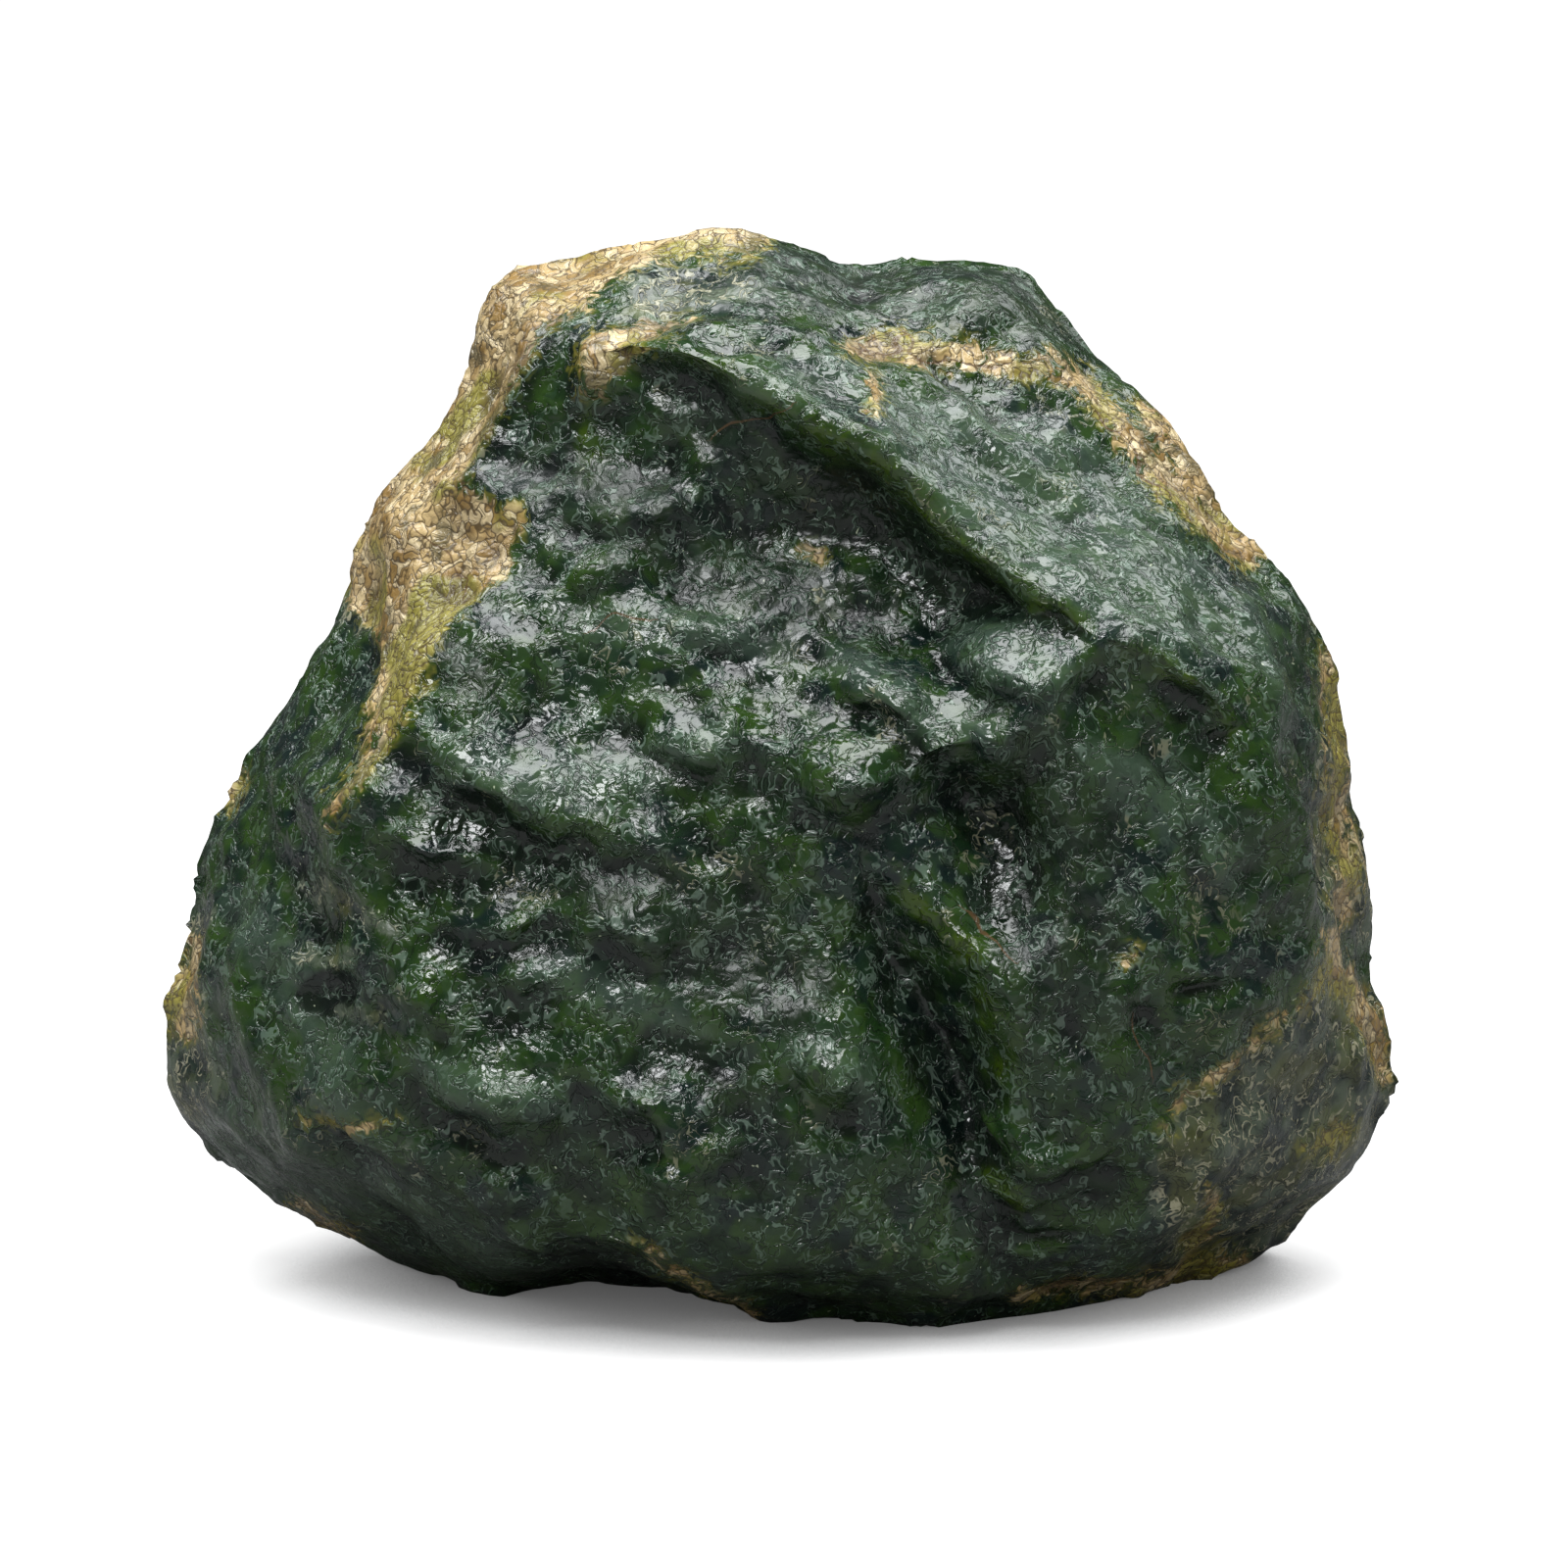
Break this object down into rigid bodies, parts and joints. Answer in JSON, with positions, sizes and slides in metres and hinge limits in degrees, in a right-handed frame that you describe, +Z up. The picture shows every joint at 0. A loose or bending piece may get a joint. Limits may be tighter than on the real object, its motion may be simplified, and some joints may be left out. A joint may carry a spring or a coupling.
{
  "type": "raw jade boulder",
  "caption": "Rough block of nephrite jade: waxy dark green broken faces with ridges and hollows, a pale weathered rind on its shoulder and flank, worn flat underneath.",
  "frame": {"origin": "on the surface it stands on, under the middle of its bounding box", "axes": "+Z up, -Y towards the viewer of the broken green front, +X to the viewer's right along its length"},
  "size_m": [0.3174, 0.2106, 0.2683],
  "materials": {
    "nephrite": "waxy dark green nephrite with a matt tan and cream rind"
  },
  "bodies": {
    "root": {"jade_stone": "nephrite"}
  },
  "joints": []
}
